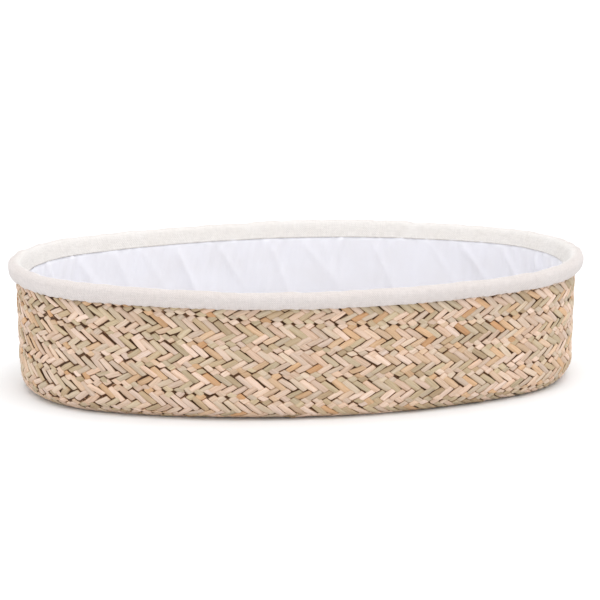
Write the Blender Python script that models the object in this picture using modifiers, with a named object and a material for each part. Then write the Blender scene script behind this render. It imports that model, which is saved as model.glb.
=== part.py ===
"""Oval moses basket.

A long flat plait of seagrass is wound in a spiral and sewn edge to edge, first as the flat base, then round a
corner and up the wall. A fabric liner lines the bowl and folds over the rim as a padded cuff, held under the
rim by an elastic in its hem. A foam mattress in a fitted cover lies on the bottom.

Units are metres, +Z is up, the origin is the centre of the footprint on the floor. +X runs along the basket.
Directions round the oval are "shares" of its perimeter: 0 at the +X end, growing clockwise seen from above.
"""

import math

import bmesh
import bpy

# Driving dimensions
LENGTH = 0.760  # over the padded cuff
WIDTH = 0.450  # over the padded cuff
HEIGHT = 0.168  # floor to the top of the cuff
END_RADIUS = 0.168  # plan radius of the wall's outer face at the two ends
PLAIT_THICK = 0.0044
MATTRESS_THICK = 0.044

# The plaited shell
CUFF_OVERHANG = 0.0095  # the cuff stands this far out from the wall
HALF_LENGTH = LENGTH / 2 - CUFF_OVERHANG  # of the wall's outer face at the rim
HALF_WIDTH = WIDTH / 2 - CUFF_OVERHANG
WALL_TOP = 0.156
WALL_LEAN = 0.003  # the wall is this much further in at the corner than at the rim
CORNER_RADIUS = 0.024  # of the plait's middle, where the base turns up into the wall
COURSE = 0.034  # from one seam to the next up the wall
BASE_COURSES = 5.21  # from the core line to the edge of the flat base
FIRST_TURN, LAST_TURN = -1, 9
TILT = 0.60  # the seams swing this far up and down round the basket, in courses
TILT_LOW = 0.13  # the share where they are lowest
TILT_TURNS = 6  # the tilt grows over this many turns of the base
SEAM_GAP = 0.0006  # each edge of a turn stops this far from the seam
END_GAP = 0.0005  # share of the perimeter left between the end of one turn and the start of the next
LEAST_TURN_WIDTH = 0.15  # a turn ends where it gets narrower than this, in courses
THREAD_RADIUS = 0.0006
CLEAR = 0.0004  # between pieces that touch

# Stations of one quarter of the oval: more on the tight end than on the flat side
END_STATIONS, SIDE_STATIONS = 6, 4

# The liner
FABRIC_THICK = 0.0014
LINING_THICK = 0.0012
LINING_INSET = 0.0086  # of the lining's middle from the wall's outer face, at the rim
LINING_STRAIGHT = 2.2  # courses above the corner where the lining leaves the wall for the cuff's seam
LINING_FLOOR_EDGE = 0.0002
HEM_Z = 0.1475
CUFF_RADIUS = CUFF_OVERHANG + PLAIT_THICK / 2 - FABRIC_THICK / 2  # of the cuff fabric's middle, over the rim
CUFF_CENTRE_Z = HEIGHT - CUFF_RADIUS - FABRIC_THICK / 2
HEM_REACH = 0.80  # the cuff's outer hem is this many cuff radii out from the wall's middle
SEAM_REACH = 0.92  # and its inner seam this many in
CUFF_STEPS = 6
PADDING_THICK = 0.0052
ELASTIC_RADIUS = 0.0010

# The mattress
MATTRESS_INSET = 0.020  # from the wall's outer face at the rim
MATTRESS_Z = 0.0098
COVER_THICK = 0.0012
MATTRESS_EDGE = 0.010  # radius of its edges
BORDER_HALF = 0.0100  # half the height of the border panel between the top and the base panels
FOAM_EDGE = 0.0090
CAP_STEPS = 3  # faces round each rounded edge of the cover

# Which turns of the plait are named for the base, for the corner and, above that, for the wall
FIRST_CORNER_TURN, FIRST_WALL_TURN = 5, 7
BEND_FACES = 4  # across a turn that goes round the corner

COLOURS = {
    "seagrass": ((0.71, 0.58, 0.42), 0.75),
    "sewing_twine": ((0.62, 0.50, 0.34), 0.80),
    "cream_fabric": ((0.88, 0.84, 0.80), 0.90),
    "white_cotton": ((0.86, 0.86, 0.89), 0.85),
    "foam": ((0.90, 0.88, 0.78), 0.95),
    "jersey": ((0.90, 0.89, 0.87), 0.92),
    "elastic": ((0.85, 0.85, 0.85), 0.80),
}


# ---------------------------------------------------------------- the oval and the shell's middle surface

END_CENTRE = HALF_LENGTH - END_RADIUS
BULGE = HALF_WIDTH - END_RADIUS
SIDE_CENTRE = (END_CENTRE**2 - BULGE**2) / (2 * BULGE)  # how far past the long axis the side arcs are centred
SIDE_RADIUS = HALF_WIDTH + SIDE_CENTRE
SIDE_ANGLE = math.atan2(END_CENTRE, SIDE_CENTRE)
END_ARC = END_RADIUS * (math.pi / 2 - SIDE_ANGLE)
QUARTER = END_ARC + SIDE_RADIUS * SIDE_ANGLE


def oval(share, inset):
    """(x, y) on the oval that lies inset inside the wall's outer face."""
    quarter = math.floor(share * 4) % 4
    along = share * 4 - math.floor(share * 4)
    if quarter % 2:
        along = 1 - along
    run = along * QUARTER
    if run < END_ARC:
        turn = run / END_RADIUS
        x = END_CENTRE + (END_RADIUS - inset) * math.cos(turn)
        y = (END_RADIUS - inset) * math.sin(turn)
    else:
        turn = SIDE_ANGLE - (run - END_ARC) / SIDE_RADIUS
        x = (SIDE_RADIUS - inset) * math.sin(turn)
        y = (SIDE_RADIUS - inset) * math.cos(turn) - SIDE_CENTRE
    side_x = -1 if quarter in (1, 2) else 1
    side_y = -1 if quarter in (0, 1) else 1
    return side_x * x, side_y * y


def quarter_stations():
    """Shares along one quarter turn from an end to a side, from 0 up to but not with 1."""
    end = [i / END_STATIONS * END_ARC / QUARTER for i in range(END_STATIONS)]
    side = [(END_ARC + i / SIDE_STATIONS * (QUARTER - END_ARC)) / QUARTER for i in range(SIDE_STATIONS)]
    return end + side


def ring_stations():
    """Shares of one full turn, the same on every piece, so that nested pieces stay parallel."""
    first = [share / 4 for share in quarter_stations()]
    second = [0.5 - share for share in reversed(first)]
    half = first + [0.25] + second[:-1]
    return half + [0.5 + share for share in half]


STATIONS = ring_stations()

BASE_EDGE_INSET = PLAIT_THICK / 2 + WALL_LEAN + CORNER_RADIUS
CORE_HALF = HALF_LENGTH - HALF_WIDTH  # half the straight line that the spiral starts round
CORNER_ARC = CORNER_RADIUS * math.pi / 2
WALL_FOOT_Z = PLAIT_THICK / 2 + CORNER_RADIUS
TOP_COUNT = BASE_COURSES + (CORNER_ARC + WALL_TOP - WALL_FOOT_Z) / COURSE


def meridian(count, off=0.0):
    """(inset, z) at a count of courses from the core, at or past the flat base's edge, moved off outwards."""
    run = (count - BASE_COURSES) * COURSE
    if run < CORNER_ARC:
        turn = run / CORNER_RADIUS
        radius = CORNER_RADIUS + off
        return (
            BASE_EDGE_INSET - radius * math.sin(turn),
            WALL_FOOT_Z - radius * math.cos(turn),
        )
    z = WALL_FOOT_Z + run - CORNER_ARC
    lean = WALL_LEAN * (WALL_TOP - z) / (WALL_TOP - WALL_FOOT_Z)
    return PLAIT_THICK / 2 + lean - off, z


def core_x(edge_x):
    """Where on the core line the spoke through a point of the base's edge starts."""
    steep = (HALF_LENGTH - BASE_EDGE_INSET) / CORE_HALF
    return CORE_HALF * math.tanh(edge_x / CORE_HALF) / math.tanh(steep)


def shell(share, count, off=0.0):
    """A point of the plaited shell's middle surface, moved off outwards (downwards under the base)."""
    if count >= BASE_COURSES:
        inset, z = meridian(count, off)
        return (*oval(share, inset), z)
    edge_x, edge_y = oval(share, BASE_EDGE_INSET)
    start = core_x(edge_x)
    part = count / BASE_COURSES
    return start + (edge_x - start) * part, edge_y * part, PLAIT_THICK / 2 - off


def seam(turn, share):
    """The count at which the seam under a turn of the plait lies."""
    spiral = turn + share
    tilt = TILT * min(max(spiral / TILT_TURNS, 0), 1)
    return spiral + tilt * (math.cos(2 * math.pi * TILT_LOW) - math.cos(2 * math.pi * (share - TILT_LOW)))


def runs_out(turn, share):
    """Whether a turn is cut off by the rim here, so that the turn below it reaches up to the rim."""
    return TOP_COUNT - seam(turn, share) < LEAST_TURN_WIDTH


# ---------------------------------------------------------------- building helpers


def clear_scene():
    for found in list(bpy.data.objects):
        bpy.data.objects.remove(found)


def material(name):
    colour, roughness = COLOURS[name]
    made = bpy.data.materials.new(name)
    made.use_nodes = True
    shader = made.node_tree.nodes["Principled BSDF"]
    shader.inputs["Base Color"].default_value = (*colour, 1)
    shader.inputs["Roughness"].default_value = roughness
    shader.inputs["Metallic"].default_value = 0.0
    made.diffuse_color = (*colour, 1)
    return made


def finish(name, data, finish_name):
    """Puts an object into the basket's collection with its material."""
    made = bpy.data.objects.new(name, data)
    collection.objects.link(made)
    data.materials.append(materials[finish_name])
    if isinstance(data, bpy.types.Mesh):
        data.shade_smooth()
        data.set_sharp_from_angle(angle=math.radians(35))
    return made


def sheet(name, rows, thick, finish_name, closed=False, flip=False):
    """A surface through rows of points, thickened about itself. Closed joins the last row to the first."""
    grid = bmesh.new()
    points = [[grid.verts.new(p) for p in row] for row in rows]
    pairs = list(zip(points, points[1:]))
    if closed:
        pairs.append((points[-1], points[0]))
    for row, after in pairs:
        for j in range(len(row) - 1):
            grid.faces.new((row[j], row[j + 1], after[j + 1], after[j]))
    if flip:
        bmesh.ops.reverse_faces(grid, faces=grid.faces)
    data = bpy.data.meshes.new(name)
    grid.to_mesh(data)
    grid.free()
    made = finish(name, data, finish_name)
    solid = made.modifiers.new("thickness", "SOLIDIFY")
    solid.thickness = thick
    solid.offset = 0
    solid.use_even_offset = False
    return made


def swept_ring(name, section, thick, finish_name, flip=False):
    """A sheet whose section, points of (inset, z), runs round the whole oval."""
    rows = [[(*oval(share, inset), z) for inset, z in section] for share in STATIONS]
    return sheet(name, rows, thick, finish_name, closed=True, flip=flip)


def cord(name, points, radius, finish_name, closed=False):
    """A thin tube through points."""
    data = bpy.data.curves.new(name, "CURVE")
    data.dimensions = "3D"
    data.bevel_depth = radius
    data.bevel_resolution = 0
    data.use_fill_caps = not closed
    line = data.splines.new("POLY")
    line.points.add(len(points) - 1)
    for slot, point in zip(line.points, points):
        slot.co = (*point, 1)
    line.use_cyclic_u = closed
    return finish(name, data, finish_name)


def oval_plate(name, inset, low, high, edge, finish_name, edge_steps=1):
    """A flat oval plate between two heights, with its edges rounded."""
    data = bpy.data.curves.new(name, "CURVE")
    data.dimensions = "2D"
    data.fill_mode = "BOTH"
    data.extrude = (high - low) / 2 - edge
    data.bevel_depth = edge
    data.bevel_resolution = edge_steps
    data.offset = -edge
    outline = data.splines.new("POLY")
    outline.points.add(len(STATIONS) - 1)
    for slot, share in zip(outline.points, STATIONS):
        slot.co = (*oval(share, inset), 0, 1)
    outline.use_cyclic_u = True
    made = finish(name, data, finish_name)
    made.location.z = (low + high) / 2
    return made


# ---------------------------------------------------------------- the plaited shell


def turn_name(turn):
    if turn == FIRST_TURN:
        return "base_plait_start"
    if turn < FIRST_CORNER_TURN:
        return f"base_plait_{turn + 1}"
    if turn < FIRST_WALL_TURN:
        return f"corner_plait_{turn - FIRST_CORNER_TURN + 1}"
    return f"wall_plait_{turn - FIRST_WALL_TURN + 1}"


def turn_rows(turn, across):
    """Rows of points over one turn of the plait, where it is wide enough."""
    gap = SEAM_GAP / COURSE
    rows = []
    for share in [END_GAP, *STATIONS[1:], 1 - END_GAP]:
        low = max(seam(turn, share), 0) + gap
        high = TOP_COUNT if runs_out(turn + 1, share) else seam(turn + 1, share) - gap
        if high - low < LEAST_TURN_WIDTH:
            continue
        row = [shell(share % 1, low + (high - low) * i / across) for i in range(across + 1)]
        rows.append(row)
    return rows


def make_plait():
    corner_end = BASE_COURSES + CORNER_ARC / COURSE
    for turn in range(FIRST_TURN, LAST_TURN + 1):
        counts = [seam(low, share) for low in (turn, turn + 1) for share in STATIONS]
        bends = min(counts) < corner_end and max(counts) > BASE_COURSES
        rows = turn_rows(turn, BEND_FACES if bends else 1)
        sheet(turn_name(turn), rows, PLAIT_THICK, "seagrass")


def seam_thread(name, first_turn, last_turn):
    """The twine that sews the turns together, lying along the spiral seam on the inner face."""
    stand_off = PLAIT_THICK / 2 + THREAD_RADIUS + CLEAR
    places = [(turn, share) for turn in range(first_turn, last_turn + 1) for share in STATIONS]
    points = []
    for turn, share in places:
        if runs_out(turn, share):
            break
        if seam(turn, share) > LEAST_TURN_WIDTH:
            points.append(shell(share, seam(turn, share), -stand_off))
    cord(name, points, THREAD_RADIUS, "sewing_twine")


def make_threads():
    seam_thread("base_seam_twine", 0, FIRST_CORNER_TURN - 1)
    seam_thread("wall_seam_twine", FIRST_CORNER_TURN, LAST_TURN)


# ---------------------------------------------------------------- the liner


def cuff_section(radius, outer_z, inner_z):
    """(inset, z) over the rim, from the outer hem, round the top, to the inner seam."""
    middle = PLAIT_THICK / 2
    section = [(middle - radius * HEM_REACH, outer_z)]
    for i in range(CUFF_STEPS + 1):
        turn = math.pi * i / CUFF_STEPS
        section.append((middle - radius * math.cos(turn), CUFF_CENTRE_Z + radius * math.sin(turn)))
    section.append((middle + radius * SEAM_REACH, inner_z))
    return section


def lining_section():
    """(inset, z) of the lining's side, from the cuff's inner seam, down the wall and round the corner."""
    seam_inset = PLAIT_THICK / 2 + CUFF_RADIUS * SEAM_REACH
    seam_z = HEM_Z - LINING_THICK
    off = -(LINING_INSET - PLAIT_THICK / 2)
    corner_end = BASE_COURSES + CORNER_ARC / COURSE
    counts = [corner_end + LINING_STRAIGHT, corner_end]
    counts += [BASE_COURSES + CORNER_ARC / COURSE * part for part in (0.75, 0.5, 0.25, 0)]
    return [(seam_inset, seam_z)] + [meridian(count, off) for count in counts]


def make_liner():
    cuff = cuff_section(CUFF_RADIUS, HEM_Z, HEM_Z)
    swept_ring("cuff_fabric", cuff, FABRIC_THICK, "cream_fabric")
    pad_radius = CUFF_RADIUS - FABRIC_THICK / 2 - CLEAR - PADDING_THICK / 2
    pad_foot = HEM_Z + 2 * ELASTIC_RADIUS + 2 * CLEAR
    padding = cuff_section(pad_radius, pad_foot, HEM_Z + CLEAR)
    swept_ring("cuff_padding", padding, PADDING_THICK, "foam")
    elastic_inset = PLAIT_THICK / 2 - CUFF_RADIUS * HEM_REACH + FABRIC_THICK / 2 + ELASTIC_RADIUS + CLEAR
    hem = [(*oval(share, elastic_inset), HEM_Z + ELASTIC_RADIUS) for share in STATIONS]
    cord("hem_elastic", hem, ELASTIC_RADIUS, "elastic", closed=True)
    side = lining_section()
    swept_ring("lining_side", side, LINING_THICK, "white_cotton")
    edge_inset, floor_z = side[-1]
    low, high = floor_z - LINING_THICK / 2, floor_z + LINING_THICK / 2
    oval_plate("lining_floor", edge_inset + CLEAR, low, high, LINING_FLOOR_EDGE, "white_cotton", edge_steps=0)


# ---------------------------------------------------------------- the mattress


def rounded_cap(radius_inset, foot_z, edge_z, side):
    """(inset, z) along a side, round an edge and in to the flat. side is 1 for the top, -1 for the base."""
    section = [(radius_inset, foot_z)]
    for i in range(CAP_STEPS + 1):
        turn = math.pi / 2 * i / CAP_STEPS
        section.append(
            (
                radius_inset + MATTRESS_EDGE * (1 - math.cos(turn)),
                edge_z - side * MATTRESS_EDGE * (1 - math.sin(turn)),
            )
        )
    return section


def cover_cap(name, foot_z, edge_z, side):
    """One half of the mattress cover: a flat oval panel with a rounded rim, open on the border's side."""
    middle = MATTRESS_INSET + COVER_THICK / 2
    section = rounded_cap(middle, foot_z, edge_z, side)
    made = swept_ring(name, section, COVER_THICK, "jersey", flip=side < 0)
    grid = bmesh.new()
    grid.from_mesh(made.data)
    grid.verts.ensure_lookup_table()
    count = len(section)
    rim = [grid.verts[i * count + count - 1] for i in range(len(STATIONS))]
    grid.faces.new(rim)
    bmesh.ops.recalc_face_normals(grid, faces=grid.faces)
    grid.to_mesh(made.data)
    grid.free()


def make_mattress():
    top, low = MATTRESS_Z + MATTRESS_THICK, MATTRESS_Z
    skin = COVER_THICK + CLEAR
    oval_plate("foam_core", MATTRESS_INSET + skin, low + skin, top - skin, FOAM_EDGE, "foam")
    half = COVER_THICK / 2
    middle = (low + top) / 2
    cover_cap("cover_top", middle + BORDER_HALF, top - half, 1)
    cover_cap("cover_base", middle - BORDER_HALF, low + half, -1)
    reach = BORDER_HALF - CLEAR
    border = [(MATTRESS_INSET + half, middle - reach), (MATTRESS_INSET + half, middle + reach)]
    swept_ring("cover_border", border, COVER_THICK, "jersey")


clear_scene()
collection = bpy.data.collections.new("moses_basket")
bpy.context.scene.collection.children.link(collection)
materials = {name: material(name) for name in COLOURS}
make_plait()
make_threads()
make_liner()
make_mattress()
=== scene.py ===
"""The looks of the oval moses basket: plaited seagrass, a padded cuff, a gathered lining and a soft mattress.

Units are metres, +Z is up. A "share" is a fraction of the way round the oval: 0 at the +X end, clockwise seen
from above. A "count" is how many courses of plait lie between a point of the shell and the core of the base.
"""

import math

import bmesh
import bpy
import numpy as np
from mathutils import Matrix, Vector


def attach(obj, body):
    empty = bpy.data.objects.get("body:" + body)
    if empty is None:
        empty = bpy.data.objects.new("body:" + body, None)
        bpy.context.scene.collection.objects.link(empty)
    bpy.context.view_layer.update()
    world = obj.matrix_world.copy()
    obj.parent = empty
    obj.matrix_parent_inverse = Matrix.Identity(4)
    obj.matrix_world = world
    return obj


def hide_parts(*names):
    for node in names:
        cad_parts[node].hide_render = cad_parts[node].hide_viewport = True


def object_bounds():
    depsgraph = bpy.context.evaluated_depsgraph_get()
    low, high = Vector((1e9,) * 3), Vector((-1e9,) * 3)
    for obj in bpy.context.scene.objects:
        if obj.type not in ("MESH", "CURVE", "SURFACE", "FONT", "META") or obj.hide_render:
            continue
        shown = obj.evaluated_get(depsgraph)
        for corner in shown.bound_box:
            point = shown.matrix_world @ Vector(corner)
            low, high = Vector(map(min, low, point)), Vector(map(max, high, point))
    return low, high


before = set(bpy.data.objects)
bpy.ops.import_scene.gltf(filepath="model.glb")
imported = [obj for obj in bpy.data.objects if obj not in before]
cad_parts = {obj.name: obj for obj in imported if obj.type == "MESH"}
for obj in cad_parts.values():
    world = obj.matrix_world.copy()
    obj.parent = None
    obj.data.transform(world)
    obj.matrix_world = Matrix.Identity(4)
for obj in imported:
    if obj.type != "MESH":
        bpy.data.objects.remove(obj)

CAD_LOW, CAD_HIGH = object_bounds()
LENGTH, WIDTH, HEIGHT = (high - low for high, low in zip(CAD_HIGH, CAD_LOW))
TAU = 2 * math.pi

# ---------------------------------------------------------------- the shell that the plait follows
# The same surface as the CAD solids, so that each visible course lies where its solid is.

END_RADIUS = 0.168  # of the wall's outer face, round each end
PLAIT_THICK = 0.0044
CUFF_OVERHANG = 0.0095  # how far the cuff stands out from the wall
HALF_LENGTH = LENGTH / 2 - CUFF_OVERHANG
HALF_WIDTH = WIDTH / 2 - CUFF_OVERHANG
WALL_TOP = 0.156
WALL_LEAN = 0.003  # how much further in the wall's foot is than its top
CORNER_RADIUS = 0.024
COURSE = 0.034  # width of the plait
BASE_COURSES = 5.21
FIRST_TURN, FIRST_CORNER_TURN, FIRST_WALL_TURN, LAST_TURN = -1, 5, 7, 9
TILT = 0.60  # in courses, how unevenly each turn climbs
TILT_LOW = 0.13  # the share at which that is lowest
TILT_TURNS = 6  # and the turns over which it grows to its full size

END_CENTRE = HALF_LENGTH - END_RADIUS
BULGE = HALF_WIDTH - END_RADIUS
SIDE_CENTRE = (END_CENTRE**2 - BULGE**2) / (2 * BULGE)
SIDE_RADIUS = HALF_WIDTH + SIDE_CENTRE
SIDE_ANGLE = math.atan2(END_CENTRE, SIDE_CENTRE)
END_ARC = END_RADIUS * (math.pi / 2 - SIDE_ANGLE)
QUARTER = END_ARC + SIDE_RADIUS * SIDE_ANGLE
PERIMETER = 4 * QUARTER
BASE_EDGE_INSET = PLAIT_THICK / 2 + WALL_LEAN + CORNER_RADIUS
CORE_HALF = HALF_LENGTH - HALF_WIDTH
CORNER_ARC = CORNER_RADIUS * math.pi / 2
WALL_FOOT_Z = PLAIT_THICK / 2 + CORNER_RADIUS
TOP_COUNT = BASE_COURSES + (CORNER_ARC + WALL_TOP - WALL_FOOT_Z) / COURSE


def oval(share, inset):
    """x, y and the outward normal's x, y on the oval inset inside the wall's outer face, for arrays."""
    share = np.asarray(share, float)
    quarter = np.floor(share * 4).astype(int) % 4
    along = share * 4 - np.floor(share * 4)
    along = np.where(quarter % 2 == 1, 1 - along, along)
    run = along * QUARTER
    at_end = run < END_ARC
    turn = np.where(at_end, run / END_RADIUS, math.pi / 2 - SIDE_ANGLE + (run - END_ARC) / SIDE_RADIUS)
    normal_x, normal_y = np.cos(turn), np.sin(turn)
    radius = np.where(at_end, END_RADIUS, SIDE_RADIUS) - inset
    x = np.where(at_end, END_CENTRE, 0) + radius * normal_x
    y = np.where(at_end, 0, -SIDE_CENTRE) + radius * normal_y
    side_x = np.where((quarter == 1) | (quarter == 2), -1, 1)
    side_y = np.where(quarter < 2, -1, 1)
    return side_x * x, side_y * y, side_x * normal_x, side_y * normal_y


def shell(share, count, off):
    """Points of the plaited shell's middle surface, moved off outwards, as an array of x, y, z."""
    share, count, off = np.broadcast_arrays(share, count, off)
    run = np.maximum(count - BASE_COURSES, 0) * COURSE
    turn = np.minimum(run / CORNER_RADIUS, math.pi / 2)
    past = np.maximum(run - CORNER_ARC, 0)
    lean = WALL_LEAN * (1 - past / (WALL_TOP - WALL_FOOT_Z))
    radius = CORNER_RADIUS + off
    in_corner = BASE_EDGE_INSET - radius * np.sin(turn)
    inset = np.where(past > 0, PLAIT_THICK / 2 + lean - off, in_corner)
    z = WALL_FOOT_Z - radius * np.cos(turn) + past
    x, y, _, _ = oval(share, inset)
    edge_x, edge_y, _, _ = oval(share, BASE_EDGE_INSET)
    steep = (HALF_LENGTH - BASE_EDGE_INSET) / CORE_HALF
    start = CORE_HALF * np.tanh(edge_x / CORE_HALF) / math.tanh(steep)
    part = np.minimum(count / BASE_COURSES, 1)
    flat = count < BASE_COURSES
    x = np.where(flat, start + (edge_x - start) * part, x)
    y = np.where(flat, edge_y * part, y)
    z = np.where(flat, PLAIT_THICK / 2 - off, z)
    return np.stack([x, y, z], -1)


def seam(turn, share):
    """The count at which the seam under a turn of the plait lies."""
    spiral = turn + share
    tilt = TILT * np.clip(spiral / TILT_TURNS, 0, 1)
    return spiral + tilt * (math.cos(TAU * TILT_LOW) - np.cos(TAU * (share - TILT_LOW)))


def bend_near(share, middle, width):
    """1 at a share of the way round, falling to 0 smoothly on both sides."""
    away = np.abs((share - middle + 0.5) % 1 - 0.5)
    return np.exp(-((away / width) ** 2))


# ---------------------------------------------------------------- mesh helpers


def object_from(name, points, faces):
    """A smooth-shaded mesh object from an array of points and lists of faces."""
    data = bpy.data.meshes.new(name)
    data.from_pydata(points.tolist(), [], faces)
    data.update()
    data.shade_smooth()
    made = bpy.data.objects.new(name, data)
    bpy.context.scene.collection.objects.link(made)
    return made


def point_values(made, name, values):
    """Stores one vector for each point, for the material to read."""
    store = made.data.attributes.new(name, "FLOAT_VECTOR", "POINT")
    store.data.foreach_set("vector", values.astype(np.float32).ravel())


def cloth_round(made, run, down):
    """Stores the place on a ring of cloth for each face corner: how far round, and how far down.

    run and down are per point, and run stops one ring short of PERIMETER. The faces that close the ring go on
    to PERIMETER itself instead of jumping back to 0, so that the weave shows no line there.
    """
    run, down = (part.ravel() for part in np.broadcast_arrays(run, down))
    corners = np.empty(len(made.data.loops), dtype=np.int32)
    made.data.loops.foreach_get("vertex_index", corners)
    corners = corners.reshape(-1, 4)
    runs = run[corners]
    closing = runs.max(axis=1) - runs.min(axis=1) > PERIMETER / 2
    runs = np.where(closing[:, None] & (runs < PERIMETER / 2), runs + PERIMETER, runs)
    values = np.stack([runs, down[corners], 0 * runs], -1)
    store = made.data.attributes.new("cloth", "FLOAT_VECTOR", "CORNER")
    store.data.foreach_set("vector", values.astype(np.float32).ravel())


def grid_faces(rows, columns, wrap_rows=False, wrap_columns=False):
    """Faces of a grid of points stored row by row."""
    row = np.arange(rows if wrap_rows else rows - 1)[:, None]
    column = np.arange(columns if wrap_columns else columns - 1)[None, :]
    after, beside = (row + 1) % rows, (column + 1) % columns
    corners = [(row, column), (row, beside), (after, beside), (after, column)]
    return np.stack(np.broadcast_arrays(*(r * columns + c for r, c in corners)), -1).reshape(-1, 4)


def tube_faces(number, rows, columns):
    """Faces of closed tubes stored one after another, each of rows rings of columns points, with caps."""
    size = rows * columns
    one = grid_faces(rows, columns, wrap_columns=True)
    faces = (one[None] + (np.arange(number) * size)[:, None, None]).reshape(-1, 4).tolist()
    first_cap = list(range(columns))
    last_cap = [k + size - columns for k in first_cap]
    faces += [[k + size * i for k in cap] for i in range(number) for cap in (first_cap[::-1], last_cap)]
    return faces


def steps_along(points):
    """How far along a path each of its points lies."""
    return np.concatenate([[0], np.cumsum(np.linalg.norm(np.diff(points, axis=0), axis=1))])


# ---------------------------------------------------------------- materials


def new_material(name, roughness):
    """A material, its node tree and its shader."""
    made = bpy.data.materials.new(name)
    made.use_nodes = True
    shader = made.node_tree.nodes["Principled BSDF"]
    shader.inputs["Roughness"].default_value = roughness
    shader.inputs["Specular IOR Level"].default_value = 0.3
    return made, made.node_tree, shader


def node(tree, kind, inputs=None, **settings):
    """A new node. Each input is a value, or a socket to link from."""
    made = tree.nodes.new(kind)
    for key, value in settings.items():
        setattr(made, key, value)
    for key, value in (inputs or {}).items():
        if isinstance(value, bpy.types.NodeSocket):
            tree.links.new(value, made.inputs[key])
        else:
            made.inputs[key].default_value = value
    return made


def sums(tree, operation, first, second=0.0, third=0.0):
    """The result of a math node."""
    return node(tree, "ShaderNodeMath", {0: first, 1: second, 2: third}, operation=operation).outputs[0]


def ramp(tree, value, stops, smooth=False):
    """A colour ramp. stops are (place, colour)."""
    made = node(tree, "ShaderNodeValToRGB", {0: value})
    made.color_ramp.interpolation = "EASE" if smooth else "LINEAR"
    while len(made.color_ramp.elements) < len(stops):
        made.color_ramp.elements.new(0.5)
    for element, (place, colour) in zip(made.color_ramp.elements, stops):
        element.position = place
        element.color = (*colour, 1)
    return made.outputs[0]


def srgb(red, green, blue):
    """Linear colour from 8-bit screen values."""
    return tuple(((c / 255 + 0.055) / 1.055) ** 2.4 for c in (red, green, blue))


def times_colour(tree, share, first, second):
    """One colour multiplied by another, as strongly as share says."""
    made = node(tree, "ShaderNodeMix", data_type="RGBA", blend_type="MULTIPLY")
    for key, value in ((0, share), (6, first), (7, second)):
        if isinstance(value, bpy.types.NodeSocket):
            tree.links.new(value, made.inputs[key])
        else:
            made.inputs[key].default_value = (*value, 1) if isinstance(value, tuple) else value
    return made.outputs[2]


def bump(tree, shader, height, strength, distance):
    made = node(tree, "ShaderNodeBump", {"Height": height, "Strength": strength, "Distance": distance})
    tree.links.new(made.outputs[0], shader.inputs["Normal"])


def seagrass_material():
    """Dried leaf: long fibres, a tint for each strand, painted shade under neighbours, along edges and on the
    core.
    """
    made, tree, shader = new_material("seagrass", 0.62)
    grain = node(tree, "ShaderNodeAttribute", attribute_name="grain").outputs["Vector"]
    tint_and_shade = node(tree, "ShaderNodeAttribute", attribute_name="tint_and_shade").outputs["Vector"]
    tints = node(tree, "ShaderNodeSeparateXYZ", {0: tint_and_shade})
    along = node(tree, "ShaderNodeMapping", {0: grain, "Scale": (18, 900, 1)}).outputs[0]
    fine = {"Vector": along, "Scale": 1.0, "Detail": 4.0, "Roughness": 0.65}
    fibre = node(tree, "ShaderNodeTexNoise", fine)
    wide = node(tree, "ShaderNodeMapping", {0: grain, "Scale": (60, 260, 1)}).outputs[0]
    blotch = node(tree, "ShaderNodeTexNoise", {"Vector": wide, "Scale": 1.0, "Detail": 3.0})
    colour = ramp(
        tree,
        tints.outputs[0],
        [
            (0.00, srgb(182, 158, 129)),
            (0.14, srgb(193, 176, 148)),
            (0.30, srgb(204, 186, 166)),
            (0.46, srgb(214, 192, 175)),
            (0.60, srgb(213, 184, 162)),
            (0.74, srgb(224, 202, 188)),
            (0.90, srgb(206, 177, 148)),
            (0.98, srgb(206, 170, 134)),
            (1.00, srgb(194, 150, 110)),
        ],
    )
    tones = [(0.30, (0.62, 0.58, 0.52)), (0.52, (1, 1, 1)), (0.75, (1.08, 1.06, 1.02))]
    colour = times_colour(tree, 0.75, colour, ramp(tree, fibre.outputs[0], tones))
    tones = [(0.35, (0.86, 0.80, 0.70)), (0.60, (1.0, 1.0, 1.0))]
    colour = times_colour(tree, 0.55, colour, ramp(tree, blotch.outputs[0], tones))
    # Painted shade, from the third tint value: dark brown under neighbours, at strand edges and on the core.
    tones = [
        (0.0, (0.15, 0.085, 0.045)),
        (0.3, (0.66, 0.49, 0.35)),
        (0.6, (0.93, 0.86, 0.77)),
        (0.9, (1, 1, 1)),
    ]
    colour = times_colour(tree, 1.0, colour, ramp(tree, tints.outputs[2], tones))
    bright = node(tree, "ShaderNodeHueSaturation", {"Color": colour, "Saturation": 1.01})
    tree.links.new(sums(tree, "MULTIPLY_ADD", tints.outputs[1], 0.30, 0.875), bright.inputs["Value"])
    tree.links.new(bright.outputs[0], shader.inputs["Base Color"])
    rough = sums(tree, "MULTIPLY_ADD", fibre.outputs[0], 0.25, 0.48)
    tree.links.new(rough, shader.inputs["Roughness"])
    bump(tree, shader, fibre.outputs[0], 0.55, 0.0006)
    return made


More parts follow.
